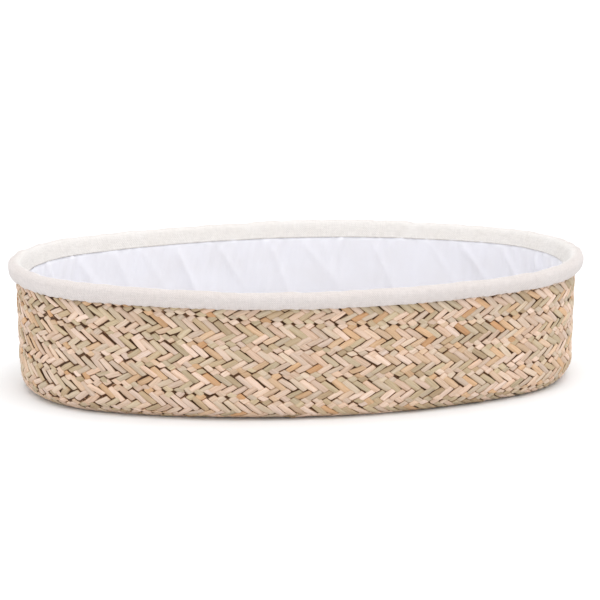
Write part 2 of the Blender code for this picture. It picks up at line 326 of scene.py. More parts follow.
def woven_material(name, colour, thread, roughness, strength, shade, slub=0.0, inner=None):
    """A plain-woven cloth whose threads run round and across, read from the piece's own cloth coordinates.

    thread is a thread's width, strength that of the bumps, shade how dark the gaps are, and slub how uneven
    the threads are in tone. inner is a lighter colour painted towards the cuff's inner seam: painted light
    there, with the outer face left in painted shade.
    """
    made, tree, shader = new_material(name, roughness)
    cloth = node(tree, "ShaderNodeAttribute", attribute_name="cloth").outputs["Vector"]
    wobble = node(tree, "ShaderNodeTexNoise", {"Vector": cloth, "Scale": 160.0, "Detail": 2.0})
    moved = node(tree, "ShaderNodeVectorMath", {0: wobble.outputs[1], "Scale": 0.0006}, operation="SCALE")
    place = node(tree, "ShaderNodeVectorMath", {0: cloth, 1: moved.outputs[0]}, operation="ADD")
    parts = node(tree, "ShaderNodeSeparateXYZ", {0: place.outputs[0]})
    turns = TAU / (2 * thread)
    across = sums(tree, "SINE", sums(tree, "MULTIPLY", parts.outputs[0], turns))
    down = sums(tree, "SINE", sums(tree, "MULTIPLY", parts.outputs[1], turns))
    weave = sums(tree, "MULTIPLY", across, down)
    fuzz = node(tree, "ShaderNodeTexNoise", {"Vector": cloth, "Scale": 900.0, "Detail": 3.0})
    cloud = node(tree, "ShaderNodeTexNoise", {"Vector": cloth, "Scale": 22.0, "Detail": 3.0})
    height = sums(tree, "MULTIPLY_ADD", fuzz.outputs[0], 0.9, weave)
    dark, full = (1 - shade,) * 3, (1, 1, 1)
    tone = ramp(tree, sums(tree, "MULTIPLY_ADD", height, 0.25, 0.4), [(0.2, dark), (0.7, full)])
    if inner is not None:
        # Painted light: the cuff grows lighter towards its inner seam, and its outer face stays darker as
        # painted shade.
        over = sums(tree, "DIVIDE", parts.outputs[1], CUFF_ACROSS)
        colour = ramp(tree, over, [(0.60, colour), (0.80, inner)], smooth=True)
    tone = times_colour(tree, 1.0, tone, colour)
    if slub:
        for scales in ((90, 700, 1), (700, 90, 1)):
            stretched = node(tree, "ShaderNodeMapping", {0: cloth, "Scale": scales}).outputs[0]
            streak = node(tree, "ShaderNodeTexNoise", {"Vector": stretched, "Scale": 1.0, "Detail": 2.0})
            streaks = ramp(tree, streak.outputs[0], [(0.38, (1 - slub,) * 3), (0.60, full)])
            tone = times_colour(tree, 1.0, tone, streaks)
    clouds = ramp(tree, cloud.outputs[0], [(0.35, (0.965, 0.955, 0.94)), (0.65, (1, 1, 1))])
    tree.links.new(times_colour(tree, 0.7, tone, clouds), shader.inputs["Base Color"])
    shader.inputs["Sheen Weight"].default_value = 0.25
    shader.inputs["Sheen Roughness"].default_value = 0.5
    bump(tree, shader, height, strength, thread * 0.25)
    return made


def plain_grain_material(name, colour, roughness, scale, strength):
    """A fine-grained matte surface for small pieces."""
    made, tree, shader = new_material(name, roughness)
    place = node(tree, "ShaderNodeTexCoord").outputs["Object"]
    grain = node(tree, "ShaderNodeTexNoise", {"Vector": place, "Scale": scale, "Detail": 4.0})
    dark = tuple(c * 0.82 for c in colour)
    tree.links.new(ramp(tree, grain.outputs[0], [(0.35, dark), (0.6, colour)]), shader.inputs["Base Color"])
    bump(tree, shader, grain.outputs[0], strength, 0.0008)
    return made


CUFF_ACROSS = 0.042  # length of the cuff's cloth from its outer hem, over the rim, to its inner seam

MATERIALS = {
    "seagrass": seagrass_material(),
    "twine": plain_grain_material("twine", srgb(196, 170, 128), 0.8, 900.0, 0.5),
    # The cuff's two colours differ as painted light and shade: darker on the outer face, lighter towards the
    # inner seam.
    "cuff": woven_material(
        "cuff", srgb(225, 217, 214), 0.0013, 0.9, 0.80, shade=0.15, slub=0.06, inner=srgb(241, 237, 234)
    ),
    "lining": woven_material("lining", srgb(244, 244, 252), 0.0004, 0.85, 0.16, shade=0.03),
    "jersey": woven_material("jersey", srgb(208, 206, 202), 0.0012, 0.92, 0.40, shade=0.08),
    "foam": plain_grain_material("foam", srgb(244, 236, 210), 0.95, 700.0, 0.8),
    "thread": plain_grain_material("thread", srgb(244, 241, 236), 0.75, 1500.0, 0.4),
}

# ---------------------------------------------------------------- the plait

STRAND_PITCH = 0.0135
# Each zone of the herringbone, from the lower edge of a course to the upper one: how high it ends, as a share
# of the course, how steep its strands are, which way they climb along the course, how far they stand out, how
# wide they are against their spacing, how far before their ends they start to dive, and how uneven they are.
ZONES = [
    {"top": 0.150, "angle": 33, "way": 1, "lift": 0.0005, "fill": 1.16, "dive": 0.0004, "jitter": 1.7},
    {"top": 0.460, "angle": 32, "way": -1, "lift": 0.0007, "fill": 1.07, "dive": 0.0005, "jitter": 1.0},
    {"top": 0.850, "angle": 36, "way": 1, "lift": 0.0008, "fill": 1.07, "dive": 0.0005, "jitter": 1.0},
    {"top": 1.000, "angle": 33, "way": -1, "lift": 0.0005, "fill": 1.16, "dive": 0.0004, "jitter": 1.7},
]
# How much single strands differ, as standard deviations
PLACE_JITTER = 0.0005
ANGLE_JITTER = 0.055
WIDTH_JITTER = 0.06
LENGTH_JITTER = 0.02
BOW_JITTER = 0.00035
LIFT_JITTER = 0.00022
TILT_JITTER = 0.00018
# A strand's cross-section, as (across in half widths, up in domes, how light it is, as painted shade that
# darkens its edges and underside). The outer face has the fine one, the inner face the plain one.
FINE_SECTION = [
    (-1.0, -0.30, 0.40),
    (-0.90, 0.36, 0.70),
    (-0.55, 0.85, 1.0),
    (0.30, 1.0, 1.0),
    (0.88, 0.44, 0.80),
    (1.0, -0.30, 0.40),
    (0.5, -0.6, 0.0),
    (-0.5, -0.6, 0.0),
]
PLAIN_SECTION = [
    (-1.0, -0.2, 0.5),
    (-0.6, 0.9, 1.0),
    (0.6, 0.9, 1.0),
    (1.0, -0.2, 0.5),
    (0.5, -0.7, 0.0),
    (-0.5, -0.7, 0.0),
]
FINE_STEPS = [-0.0013, -0.0007, -0.0001, 0.0005, 0.0011]  # rings near each end, from where it is covered
PLAIN_STEPS = [-0.0012, 0.0008]
TAPER = 0.30  # how much narrower a strand is at its ends
TUCK = 0.0019  # each end goes on this far under its neighbours
DIVE_AFTER = 0.0009  # and is fully down this far beyond where it is covered
DOME = 0.0013  # how high a strand's middle stands over its edges
SINK = 0.0024  # how far down an end goes
DEEPEST = -0.0004  # no end comes through to the other face
FLOOR_GAP = 0.0001  # round the corner, strands stay this far above the floor
BULGE_OUT = 0.0009  # the middle of each course stands this much further out than its seams
CORE_OVERLAP = 0.02  # in courses, of the cores of neighbouring turns
CORE_HALF_THICK = 0.0003
LEAST_CORE = 0.05  # in courses, the narrowest that the core of a turn gets
LEAST_COURSE = 0.12  # in courses, the narrowest place of a turn that has strands
RIM_ROOM, START_ROOM = 0.03, 0.02  # in courses, how near to the rim and the centre strands start to bend
PAST_RIM = 0.05  # in courses, how far strands may stand over the wall's top
ROOF_TILE = 0.00025  # one edge of each strand stands this much higher, over its neighbour
LOOSE_SHARE, LOOSE_REACH = 0.46, 0.11  # where the plaiting is looser, and how far round that goes


def turn_path(turn):
    """(length along a turn's middle, share) tables, reaching a little past both ends of the turn."""
    share = np.linspace(-0.03, 1.03, 2400)
    middle = (np.maximum(seam(turn, share), 0) + np.maximum(seam(turn + 1, share), 0)) / 2
    run = steps_along(shell(share, middle, 0.0))
    return run - np.interp(0.0, share, run), share


def bend_below(value, edge, room):
    """Values nearer to edge than room, or past it, bend to stay below it, and no two fall together."""
    past = np.maximum(value - edge + room, 0)
    return np.where(past > 0, edge - room / (1 + past / room), value)


def zone_strands(turn, side, zone, neighbour, floor, phase, paths, random):
    """The closed strands of one zone, their ends cut to follow the strands of the zone neighbour."""
    run_table, share_table, units, pitch = paths
    angle = math.radians(zone["angle"])
    way = zone["way"]
    rise = (zone["top"] - floor) * COURSE
    reach = rise / math.sin(angle)
    middle_x = (np.arange(units) + phase) * pitch + way * rise / math.tan(angle) / 2
    loose = bend_near(np.interp(middle_x, run_table, share_table), LOOSE_SHARE, LOOSE_REACH)
    jitter = zone["jitter"] + 0.7 * loose
    middle_x = middle_x + random.normal(0, PLACE_JITTER, units) * jitter
    middle_w = (zone["top"] + floor) / 2 * COURSE + random.normal(0, PLACE_JITTER, units) * jitter
    angles = angle + random.normal(0, ANGLE_JITTER, units) * jitter
    along_x, along_w = np.cos(angles) * way, np.sin(angles)
    other = math.radians(neighbour["angle"])
    cut_x, cut_w = -way * math.cos(other), math.sin(other)
    slant = abs(math.sin(angle + other))
    fill = zone["fill"] * (1 - 0.05 * loose) * random.normal(1.0, WIDTH_JITTER, units)
    half_across = pitch * math.sin(angle) / 2 / slant * fill
    half = (reach / 2 + TUCK) * random.normal(1.0, LENGTH_JITTER, units)
    steps = 1 + (np.array(FINE_STEPS if side > 0 else PLAIN_STEPS) - TUCK) / (reach / 2 + TUCK)
    steps = np.concatenate([[-1.0], -steps[::-1], [0.0], steps, [1.0]])
    section = np.array(FINE_SECTION if side > 0 else PLAIN_SECTION)
    t = steps[None, :, None]
    v, up, light = (section[None, None, :, i] for i in range(3))

    def spread(values):
        return values[:, None, None]

    wide = spread(half_across) * (1 - TAPER * np.abs(t) ** 3)
    bow = spread(random.normal(0, BOW_JITTER, units)) * (1 - t**2)
    x = spread(middle_x) + spread(half * along_x) * t + wide * v * cut_x - bow * spread(along_w)
    w = spread(middle_w) + spread(half * along_w) * t + wide * v * cut_w + bow * spread(along_x)
    beyond = np.abs(t) * (reach / 2 + TUCK) - reach / 2
    dip = np.clip((beyond + zone["dive"]) / (zone["dive"] + DIVE_AFTER), 0, 1)
    dip = dip * dip * (3 - 2 * dip)
    lift = spread(zone["lift"] + random.normal(0, LIFT_JITTER, units))
    tilt = spread(ROOF_TILE + random.normal(0, TILT_JITTER, units))
    bulge = BULGE_OUT * np.sin(math.pi * np.clip(w / COURSE, 0, 1)) * (side > 0)
    off = np.maximum(lift * (1 - 0.15 * t**2) + bulge - SINK * dip + DOME * up + tilt * v * side, DEEPEST)
    share = np.interp(x, run_table, share_table)
    low = np.maximum(seam(turn, share), 0)
    high = np.maximum(seam(turn + 1, share), 0)
    spot = low + (high - low) * w / COURSE
    kept = (spot.mean(axis=(1, 2)) < TOP_COUNT - 0.05) & ((high - low).mean(axis=(1, 2)) > LEAST_COURSE)
    spot = -bend_below(-bend_below(spot, TOP_COUNT + PAST_RIM, RIM_ROOM), 0.0, START_ROOM)
    bend = np.clip((spot - BASE_COURSES) * COURSE / CORNER_RADIUS, 0, 1.5)
    limit = WALL_FOOT_Z / np.cos(bend) - CORNER_RADIUS - FLOOR_GAP
    points = shell(share, spot, side * np.minimum(off, limit))
    seeds = spread(random.uniform(0, 9, units))
    grain = np.broadcast_arrays(spread(half) * t + seeds, wide * v + seeds * 0.37, 0 * off)
    # Painted shade: darker where the strand dives under its neighbours, and at the section's dark edges and
    # underside.
    depth = np.clip(1.05 - 1.15 * dip, 0, 1) * light
    tints, shades = random.uniform(0, 1, (2, units))
    tint_and_shade = np.broadcast_arrays(spread(tints), spread(shades), depth + 0 * off)
    return points[kept], np.stack(grain, -1)[kept], np.stack(tint_and_shade, -1)[kept]


def strands(turn, side, random):
    """Points, grain, tint with painted shade, and faces of one turn's closed strands. side is 1 for the
    outside, -1 inside.
    """
    run_table, share_table = turn_path(turn)
    length = np.interp(1.0, share_table, run_table)
    units = max(round(length / STRAND_PITCH), 1)
    pitch = length / units
    paths = run_table, share_table, units, pitch
    parts = []
    floor, phase = 0.0, 0.0
    for i, zone in enumerate(ZONES):
        neighbour = ZONES[i + 1] if i + 1 < len(ZONES) else ZONES[i - 1]
        parts.append(zone_strands(turn, side, zone, neighbour, floor, phase, paths, random))
        climb = (zone["top"] - floor) * COURSE
        phase = phase + zone["way"] * climb / math.tan(math.radians(zone["angle"])) / pitch + 0.5
        floor = zone["top"]
    points, grain, tint_and_shade = (np.concatenate(group) for group in zip(*parts))
    faces = tube_faces(*points.shape[:3])
    return points.reshape(-1, 3), grain.reshape(-1, 3), tint_and_shade.reshape(-1, 3), faces


def plait_core(turn):
    """The hidden crossings inside one turn: a thin closed strip, so that no light comes through the plait.
    Its tint is the darkest, painted shade where it shows between the strands.
    """
    share = np.linspace(0.0, 1.0, 161)
    low = np.maximum(seam(turn, share), 0) - CORE_OVERLAP
    high = np.minimum(np.maximum(seam(turn + 1, share), 0) + CORE_OVERLAP, TOP_COUNT)
    good = high - low > LEAST_CORE
    if turn > FIRST_TURN:
        good = np.cumprod(good).astype(bool)
    share, low, high = share[good, None], low[good, None], high[good, None]
    up = np.linspace(0, 1, 5)
    part = np.concatenate([up, up[::-1]])
    off = np.repeat([CORE_HALF_THICK, -CORE_HALF_THICK], len(up))
    points = shell(share, low + (high - low) * part, off)
    return points.reshape(-1, 3), tube_faces(1, len(share), len(part))


def turn_name(turn):
    """The CAD node of one turn of the plait."""
    if turn == FIRST_TURN:
        return "base_plait_start"
    if turn < FIRST_CORNER_TURN:
        return f"base_plait_{turn + 1}"
    if turn < FIRST_WALL_TURN:
        return f"corner_plait_{turn - FIRST_CORNER_TURN + 1}"
    return f"wall_plait_{turn - FIRST_WALL_TURN + 1}"


def make_plait():
    """One piece for each turn of the plait: strands on both faces, and the core between them, dark with
    painted shade.
    """
    for turn in range(FIRST_TURN, LAST_TURN + 1):
        random = np.random.default_rng(100 + turn)
        core_points, core_faces = plait_core(turn)
        # Painted shade: the core takes the darkest tone, as the shaded gaps between strands where it shows.
        core_tint_and_shade = np.tile([0.3, 0.2, 0.0], (len(core_points), 1))
        layers = [strands(turn, side, random) for side in (1, -1)]
        layers.append((core_points, core_points, core_tint_and_shade, core_faces))
        points, grain, tint_and_shade = (np.concatenate([layer[i] for layer in layers]) for i in range(3))
        faces, start = [], 0
        for layer in layers:
            faces += [[k + start for k in face] for face in layer[3]]
            start += len(layer[0])
        made = object_from("strands_" + turn_name(turn), points, faces)
        point_values(made, "grain", grain)
        point_values(made, "tint_and_shade", tint_and_shade)
        made.data.materials.append(MATERIALS["seagrass"])
        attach(made, "basket")
        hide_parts(turn_name(turn))


# ---------------------------------------------------------------- the cuff and the lining


def noise_round(share, seed, low, high, count):
    """A smooth closed random curve round the oval, from low to high waves a turn, about 1 in size."""
    random = np.random.default_rng(seed)
    waves = random.integers(low, high + 1, count)
    phases = random.uniform(0, TAU, count)
    sizes = random.uniform(0.5, 1.0, count)
    total = sum(a * np.sin(TAU * n * share + p) for a, n, p in zip(sizes, waves, phases))
    return total / math.sqrt((sizes**2).sum() / 2)


def relax(made, frames, pressure, slack, cap, pinned=None):
    """Cloth simulation: the mesh swells under pressure, slack in its threads, each point by at most cap."""
    rest = read_points(made)
    cloth = made.modifiers.new("cloth", "CLOTH")
    settings = cloth.settings
    settings.quality = 5
    settings.mass = 0.25
    settings.bending_stiffness = 0.4
    settings.use_pressure = True
    settings.uniform_pressure_force = pressure
    settings.shrink_min = -slack
    settings.effector_weights.gravity = 0
    cloth.collision_settings.use_collision = False
    cloth.collision_settings.use_self_collision = False
    cloth.point_cache.frame_end = frames
    if pinned is not None:
        group = made.vertex_groups.new(name="pinned")
        group.add([int(i) for i in pinned], 1.0, "REPLACE")
        settings.vertex_group_mass = "pinned"
    scene = bpy.context.scene
    for frame_number in range(1, frames + 1):
        scene.frame_set(frame_number)
    settled = made.evaluated_get(bpy.context.evaluated_depsgraph_get())
    moved = read_points(settled) - rest
    made.modifiers.remove(cloth)
    made.vertex_groups.clear()
    scene.frame_set(1)
    size = np.linalg.norm(moved, axis=1, keepdims=True)
    share = cap * np.tanh(size / cap) / np.maximum(size, 1e-9)
    write_points(made, rest + moved * share)


def read_points(made):
    points = np.empty(len(made.data.vertices) * 3)
    made.data.vertices.foreach_get("co", points)
    return points.reshape(-1, 3)


def write_points(made, points):
    made.data.vertices.foreach_set("co", points.ravel())
    made.data.update()


def thicken(made, thickness, offset):
    solid = made.modifiers.new("thickness", "SOLIDIFY")
    solid.thickness = thickness
    solid.offset = offset


CUFF_THICK = 0.0012
HEM_Z = 0.1475
CUFF_RADIUS = CUFF_OVERHANG + PLAIT_THICK / 2 - 0.0006
CUFF_RISE = HEIGHT - 0.0004 - HEM_Z
CUFF_RINGS, CUFF_STEPS = 900, 28
CUFF_LIFTS = [(0.0035, 0.50, 0.07), (0.0034, 0.41, 0.09)]  # (how high, at which share, how far round)
CUFF_TEETH = 380  # scallops along the hem and the seam
# The cuff's cross-section from its outer hem, over the rim, to its inner seam: how far in from the wall's
# middle, in cuff radii, and how far up from the hem, in shares of its rise. It is drawn in under at the hem
# and slopes inside.
CUFF_PROFILE = [
    (-0.38, 0.00),
    (-0.62, 0.10),
    (-0.83, 0.27),
    (-0.96, 0.48),
    (-1.00, 0.67),
    (-0.92, 0.84),
    (-0.64, 0.96),
    (-0.24, 1.00),
    (0.14, 0.94),
    (0.42, 0.76),
    (0.66, 0.51),
    (0.89, 0.26),
    (1.12, 0.00),
]
SEAM_INSET = PLAIT_THICK / 2 + CUFF_RADIUS * CUFF_PROFILE[-1][0]  # where the lining is sewn to the cuff


def smooth_path(corners, number):
    """number points spaced evenly on a smooth curve through corners, its directions, and how far along."""
    corners = np.array(corners, float)
    ends = np.concatenate([[2 * corners[0] - corners[1]], corners, [2 * corners[-1] - corners[-2]]])
    t = np.linspace(0, 1, 20, endpoint=False)[:, None]
    parts = []
    for i in range(len(corners) - 1):
        p0, p1, p2, p3 = ends[i : i + 4]
        bent = (2 * p0 - 5 * p1 + 4 * p2 - p3) * t**2 + (3 * p1 - p0 - 3 * p2 + p3) * t**3
        parts.append(0.5 * (2 * p1 + (p2 - p0) * t + bent))
    fine = np.concatenate(parts + [corners[-1:]])
    run = steps_along(fine)
    at = np.linspace(0, run[-1], number)
    path = np.stack([np.interp(at, run, fine[:, i]) for i in range(2)], 1)
    way = np.gradient(path, axis=0)
    return path, way / np.linalg.norm(way, axis=1, keepdims=True), at


def make_cuff():
    """Padded fabric rolled over the rim, drawn in at its hem, with small puckers running up from it."""
    share = np.arange(CUFF_RINGS)[:, None] / CUFF_RINGS
    part = np.linspace(0, 1, CUFF_STEPS)[None, :]
    corners = [(PLAIT_THICK / 2 + CUFF_RADIUS * a, HEM_Z + CUFF_RISE * up) for a, up in CUFF_PROFILE]
    section, way, path = smooth_path(corners, CUFF_STEPS)
    inset, z = section[None, :, 0], section[None, :, 1]
    x, y, normal_x, normal_y = oval(share, inset)
    points = np.stack(np.broadcast_arrays(x, y, z), -1).reshape(-1, 3)
    faces = grid_faces(CUFF_RINGS, CUFF_STEPS, wrap_rows=True)[:, ::-1].tolist()
    made = object_from("cuff", points, faces)
    rings = np.arange(CUFF_RINGS) * CUFF_STEPS
    relax(made, 16, 1.2, 0.03, 0.0010, np.concatenate([rings, rings + CUFF_STEPS - 1]))
    points = read_points(made).reshape(CUFF_RINGS, CUFF_STEPS, 3)
    lift = sum(high * bend_near(share, at, width) for high, at, width in CUFF_LIFTS)
    wave = 0.0007 * noise_round(share, 5, 1, 6, 6) + 0.0003 * noise_round(share, 6, 8, 30, 14)
    outer, inner = np.clip(1 - part * 4, 0, 1), np.clip(part * 4 - 3, 0, 1)
    pucker = 0.00030 * noise_round(share, 7, 90, 190, 40) * (0.15 + outer + 0.7 * inner)
    ridge = 0.00025 * noise_round(share + 0.02 * part, 8, 30, 80, 30)
    scallop = 0.00035 * np.abs(np.sin(TAU * share * (CUFF_TEETH / 2))) * (inner**6 + 0.6 * outer**6)
    swell = pucker + ridge
    up_in, up_z = -way[None, :, 1], way[None, :, 0]
    points[:, :, 0] -= normal_x * up_in * swell
    points[:, :, 1] -= normal_y * up_in * swell
    rising = np.clip((z - HEM_Z) / 0.012, 0, 1)
    raised = up_z * swell + wave * np.maximum(rising, 0.3)
    points[:, :, 2] += raised + lift * np.maximum(rising, 0.6) + scallop
    write_points(made, points.reshape(-1, 3))
    cloth_round(made, share * PERIMETER, path[None, :])
    made.data.materials.append(MATERIALS["cuff"])
    thicken(made, CUFF_THICK, -1)
    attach(made, "liner")
    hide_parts("cuff_fabric", "cuff_padding", "hem_elastic")


# ---------------------------------------------------------------- the lining

LINING_RINGS, LINING_STEPS = 1400, 31
LINING_OFF = -0.0064  # its middle's place against the plait's middle
LINING_TOP = TOP_COUNT - 0.21
LINING_THICK = 0.0008
LINING_BEHIND = 0.0010  # how far behind the cuff's inner edge it starts
LINING_HUG = 0.25  # at this share of its height it is about halfway back to the wall
LINING_BACK, LINING_OUT = -0.0022, 0.004  # the furthest that folds go each way
CREASES = 34
CREASE_HIGH = 0.0026
CREASE_SLOPE = (-0.075, -0.020)  # shares round, for the wall's height
CREASE_WIDTH = (0.0018, 0.0036)  # in shares round
CREASE_REACH = (0.35, 0.80)  # in shares of the wall's height


def drag_creases(share, part):
    """Thin slanting creases, each starting at the seam and dying out down the wall, about 1 high."""
    random = np.random.default_rng(24)
    total = 0.0 * share * part
    for i in range(CREASES):
        start = (i + random.uniform(-0.4, 0.4)) / CREASES
        slope = random.uniform(*CREASE_SLOPE)
        width = random.uniform(*CREASE_WIDTH) * (1 + part)
        reach = random.uniform(*CREASE_REACH)
        away = ((share - start + slope * part + 0.5) % 1 - 0.5) / width
        fade = np.clip(part * 9, 0, 1) * np.exp(-((part / reach) ** 4))
        total += random.uniform(0.4, 1.0) * fade * np.exp(-np.abs(away) ** 1.5)
    return total


def make_lining():
    """Cotton gathered at the cuff's seam and hanging against the wall."""
    share = np.arange(LINING_RINGS)[:, None] / LINING_RINGS
    part = np.linspace(0, 1, LINING_STEPS)[None, :]
    count = LINING_TOP + (BASE_COURSES - LINING_TOP) * part
    least = 1 / (1 + (1 / LINING_HUG) ** 2)
    inwards = (1 / (1 + (part / LINING_HUG) ** 2) - least) / (1 - least)
    off = LINING_OFF - (SEAM_INSET - PLAIT_THICK / 2 - LINING_BEHIND + LINING_OFF) * inwards
    made = object_from(
        "lining_wall",
        shell(share, count, off).reshape(-1, 3),
        grid_faces(LINING_RINGS, LINING_STEPS, wrap_rows=True).tolist(),
    )
    hang = np.sin(math.pi * np.clip(part * 1.05, 0, 1))
    ends = bend_near(share, 0.0, 0.10) + bend_near(share, 0.5, 0.10)
    near_top = np.exp(-part * 3.0) - np.exp(-part * 40.0)
    folds = 0.0007 * noise_round(share + 0.012 * part, 21, 60, 130, 40) * near_top
    drag = 0.0005 * noise_round(share - 0.07 * part, 22, 10, 26, 12) * hang * (1 - 0.5 * ends)
    pleats = 0.0008 * noise_round(share, 23, 80, 140, 20) * ends * (0.3 + hang) * np.clip(part * 12, 0, 1)
    creases = CREASE_HIGH * drag_creases(share, part)
    swell = np.clip(folds + drag + pleats + creases, LINING_BACK, LINING_OUT)
    write_points(made, shell(share, count, off - swell).reshape(-1, 3))
    cloth_round(made, share * PERIMETER, part * (LINING_TOP - BASE_COURSES) * COURSE)
    made.data.materials.append(MATERIALS["lining"])
    thicken(made, LINING_THICK, 0)
    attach(made, "liner")
    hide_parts("lining_side")


def make_lining_floor():
    """The flat oval bottom of the lining, slightly rucked where it is sewn to the side."""
    rings, steps = 400, 50
    share = np.arange(rings)[:, None] / rings
    part = np.linspace(0.02, 1, steps)[None, :]
    edge_x, edge_y, _, _ = oval(share, BASE_EDGE_INSET + LINING_THICK)
    floor_z = WALL_FOOT_Z - CORNER_RADIUS - LINING_OFF
    ruck = 0.00018 * noise_round(share, 31, 40, 110, 30) * part**6
    ruck = ruck + 0.00012 * noise_round(share, 32, 4, 12, 6) * part
    points = np.stack(np.broadcast_arrays(edge_x * part, edge_y * part, floor_z + ruck), -1).reshape(-1, 3)
    faces = grid_faces(rings, steps, wrap_rows=True)[:, ::-1].tolist()
    faces.append([i * steps for i in range(rings)])
    made = object_from("lining_bottom", points, faces)
    point_values(made, "cloth", points)
    made.data.materials.append(MATERIALS["lining"])
    thicken(made, LINING_THICK, 0)
    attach(made, "liner")
    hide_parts("lining_floor")


# ---------------------------------------------------------------- the mattress

MATTRESS_INSET = 0.020
MATTRESS_LOW = 0.0098
MATTRESS_TOP = MATTRESS_LOW + 0.044
MATTRESS_EDGE = 0.010
BORDER_HALF = 0.0100  # half the height of the cover's border
COVER_THICK = 0.0010
COVER_IN = 0.0015  # the cover starts this much smaller than the pad's outline, because it swells
FOAM_IN = 0.0075  # and the foam this much
VOXEL = 0.006
PAD_RINGS = 360


def pad_points(inset, low, top, edge):
    """Rings of points over a rounded oval pad, from the middle of its base to the middle of its top."""
    turns = np.linspace(0, math.pi / 2, 6)
    corner_in = edge * (1 - np.sin(turns))
    corner_up = edge * (1 - np.cos(turns))
    flat = np.linspace(0.04, 0.94, 16)
    share = np.arange(PAD_RINGS)[:, None] / PAD_RINGS
    edge_x, edge_y, _, _ = oval(share, inset + edge)
    side_z = np.linspace(low + edge, top - edge, 6)[1:-1]
    insets = np.concatenate([corner_in, np.zeros(4), corner_in[::-1]])
    heights = np.concatenate([low + corner_up, side_z, top - corner_up[::-1]])
    x, y, _, _ = oval(share, inset + insets[None, :])
    wall = np.stack(np.broadcast_arrays(x, y, heights[None, :]), -1)
    base = np.stack(np.broadcast_arrays(edge_x * flat, edge_y * flat, low), -1)
    lid = np.stack(np.broadcast_arrays(edge_x * flat[::-1], edge_y * flat[::-1], top), -1)
    return np.concatenate([base, wall, lid], 1)


def pad_object(name, inset, low, top):
    """A closed rounded oval pad."""
    grid = pad_points(inset, low, top, MATTRESS_EDGE)
    steps = grid.shape[1]
    faces = grid_faces(PAD_RINGS, steps, wrap_rows=True).tolist()
    faces.append([i * steps for i in range(PAD_RINGS)][::-1])
    faces.append([i * steps + steps - 1 for i in range(PAD_RINGS)])
    return object_from(name, grid.reshape(-1, 3), faces)


def settle_pad(made):
    """Even quads by voxel remeshing, then the cover swells against its seams."""
    remesh = made.modifiers.new("even", "REMESH")
    remesh.mode = "VOXEL"
    remesh.voxel_size = VOXEL
    even = bpy.data.meshes.new_from_object(made.evaluated_get(bpy.context.evaluated_depsgraph_get()))
    made.modifiers.clear()
    made.data = even
    even.shade_smooth()
    relax(made, 20, 4.0, 0.0, 0.0035)


def cut_cover(whole, name, replaced, low, high):
    """One panel of the cover: what lies between two heights of the settled pad."""
    made = whole.copy()
    made.data = whole.data.copy()
    made.name = name
    bpy.context.scene.collection.objects.link(made)
    grid = bmesh.new()
    grid.from_mesh(made.data)
    for height, keeps_above in ((low, True), (high, False)):
        if height is None:
            continue
        bmesh.ops.bisect_plane(
            grid,
            geom=grid.verts[:] + grid.edges[:] + grid.faces[:],
            plane_co=(0, 0, height),
            plane_no=(0, 0, 1),
            clear_inner=keeps_above,
            clear_outer=not keeps_above,
        )
    grid.to_mesh(made.data)
    grid.free()
    points = read_points(made)
    angles = np.arctan2(points[:, 1], points[:, 0])
    table = np.linspace(-0.5, 0.5, 2001)
    table_x, table_y, _, _ = oval(table % 1, MATTRESS_INSET)
    table_angle = np.arctan2(table_y, table_x)
    order = np.argsort(table_angle)
    run = np.interp(angles, table_angle[order], table[order]) * PERIMETER
    is_border = low is not None and high is not None
    cloth = np.stack([run, points[:, 2], 0 * run], -1) if is_border else points * [1, 1, 0]
    point_values(made, "cloth", cloth)
    made.data.materials.append(MATERIALS["jersey"])
    thicken(made, COVER_THICK, -1)
    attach(made, "mattress")
    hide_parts(replaced)


def make_mattress():
    """A foam slab in a fitted cover of three panels, drawn in along the two seams between them."""
    whole = pad_object("pad", MATTRESS_INSET + COVER_IN, MATTRESS_LOW + 0.0004, MATTRESS_TOP - 0.0012)
    settle_pad(whole)
    points = read_points(whole)
    middle = (MATTRESS_LOW + MATTRESS_TOP) / 2
    level = np.abs(points[:, 2] - middle)
    normals = np.empty(len(points) * 3)
    whole.data.vertices.foreach_get("normal", normals)
    normals = normals.reshape(-1, 3)
    groove = np.exp(-(((level - BORDER_HALF) / 0.0022) ** 2)) * (np.abs(normals[:, 2]) < 0.75)
    share = (np.arctan2(-points[:, 1], points[:, 0]) / TAU) % 1
    puckers = 0.5 + 0.5 * noise_round(share, 41, 120, 220, 30)
    depth = 0.0012 * groove + 0.0003 * puckers * np.exp(-(((level - BORDER_HALF) / 0.005) ** 2))
    rumple = 0.0004 * noise_round(share + points[:, 0] * 0.4, 42, 5, 14, 8) * (points[:, 2] > middle)
    moved = points - normals * depth[:, None]
    moved[:, 2] += rumple
    moved[:, 2] = np.maximum(moved[:, 2], MATTRESS_LOW + 0.0001)
    write_points(whole, moved)
    cut_cover(whole, "mattress_top", "cover_top", middle + BORDER_HALF, None)
    cut_cover(whole, "mattress_border", "cover_border", middle - BORDER_HALF, middle + BORDER_HALF)
    cut_cover(whole, "mattress_base", "cover_base", None, middle - BORDER_HALF)
    bpy.data.objects.remove(whole)
    foam_low, foam_top = MATTRESS_LOW + 0.0045, MATTRESS_TOP - 0.0055
    foam = pad_object("mattress_foam", MATTRESS_INSET + FOAM_IN, foam_low, foam_top)
    foam.data.materials.append(MATERIALS["foam"])
    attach(foam, "mattress")
    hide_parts("foam_core")


# ---------------------------------------------------------------- the sewing

STITCH_PITCH = 0.010
STITCH_LENGTH = 0.0066
TWINE_RADIUS = 0.0006
SEWING_PITCH = 0.0038
SEWING_LENGTH = 0.0028
SEWING_RADIUS = 0.00026


